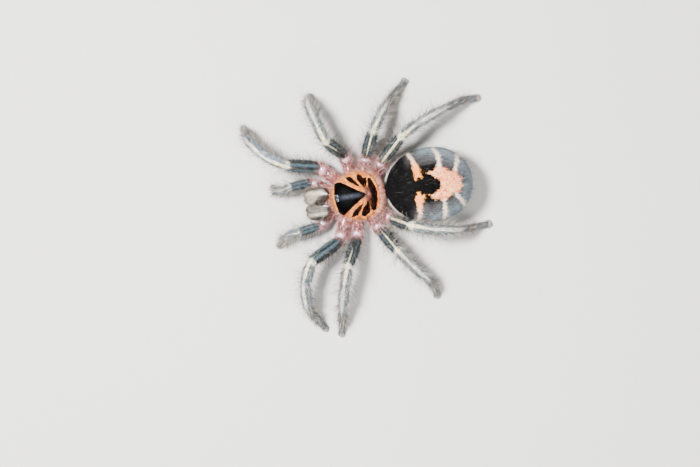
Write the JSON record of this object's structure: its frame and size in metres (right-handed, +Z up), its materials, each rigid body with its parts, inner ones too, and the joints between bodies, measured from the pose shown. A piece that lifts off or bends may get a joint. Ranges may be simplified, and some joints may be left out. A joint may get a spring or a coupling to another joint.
{
  "type": "dwarf tarantula",
  "caption": "Life-size still model of a dwarf tarantula with an orange and black carapace and a heart-marked, banded abdomen, standing on its feet.",
  "frame": {"origin": "on the floor under the middle of the whole model's plan, legs included", "axes": "+Z up, the animal faces -Y, and its left side is +X"},
  "size_m": [0.0396, 0.039, 0.0114],
  "materials": {
    "carapace": "short pale orange pile with dark rays and a glossy black head region",
    "eyes": "glossy black lenses on a low dark mound",
    "sternum": "brown shell with short pile",
    "abdomen": "velvet black with pale orange bands and a blue-grey sheen",
    "hip": "pinkish skin with a soft gloss and pale hairs",
    "limb": "blue-grey pile with cream stripes and long fine hairs",
    "chelicera": "grey and cream pile in fine lengthwise lines",
    "fang": "smooth, nearly black"
  },
  "bodies": {
    "root": {"carapace": "carapace", "eye_mound": "eyes", "sternum": "sternum", "abdomen": "abdomen", "spinneret_left": "abdomen", "spinneret_right": "abdomen", "pedicel": "hip", "leg_1_left_coxa": "hip", "leg_1_right_coxa": "hip", "leg_2_left_coxa": "hip", "leg_2_right_coxa": "hip", "leg_3_left_coxa": "hip", "leg_3_right_coxa": "hip", "leg_4_left_coxa": "hip", "leg_4_right_coxa": "hip", "palp_left_coxa": "hip", "palp_right_coxa": "hip", "leg_1_left_femur": "limb", "leg_1_left_patella": "limb", "leg_1_left_tibia": "limb", "leg_1_left_foot": "limb", "leg_1_right_femur": "limb", "leg_1_right_patella": "limb", "leg_1_right_tibia": "limb", "leg_1_right_foot": "limb", "leg_2_left_femur": "limb", "leg_2_left_patella": "limb", "leg_2_left_tibia": "limb", "leg_2_left_foot": "limb", "leg_2_right_femur": "limb", "leg_2_right_patella": "limb", "leg_2_right_tibia": "limb", "leg_2_right_foot": "limb", "leg_3_left_femur": "limb", "leg_3_left_patella": "limb", "leg_3_left_tibia": "limb", "leg_3_left_foot": "limb", "leg_3_right_femur": "limb", "leg_3_right_patella": "limb", "leg_3_right_tibia": "limb", "leg_3_right_foot": "limb", "leg_4_left_femur": "limb", "leg_4_left_patella": "limb", "leg_4_left_tibia": "limb", "leg_4_left_foot": "limb", "leg_4_right_femur": "limb", "leg_4_right_patella": "limb", "leg_4_right_tibia": "limb", "leg_4_right_foot": "limb", "palp_left_femur": "limb", "palp_left_patella": "limb", "palp_left_foot": "limb", "palp_right_femur": "limb", "palp_right_patella": "limb", "palp_right_foot": "limb", "chelicera_left": "chelicera", "chelicera_right": "chelicera", "fang_left": "fang", "fang_right": "fang"}
  },
  "joints": []
}
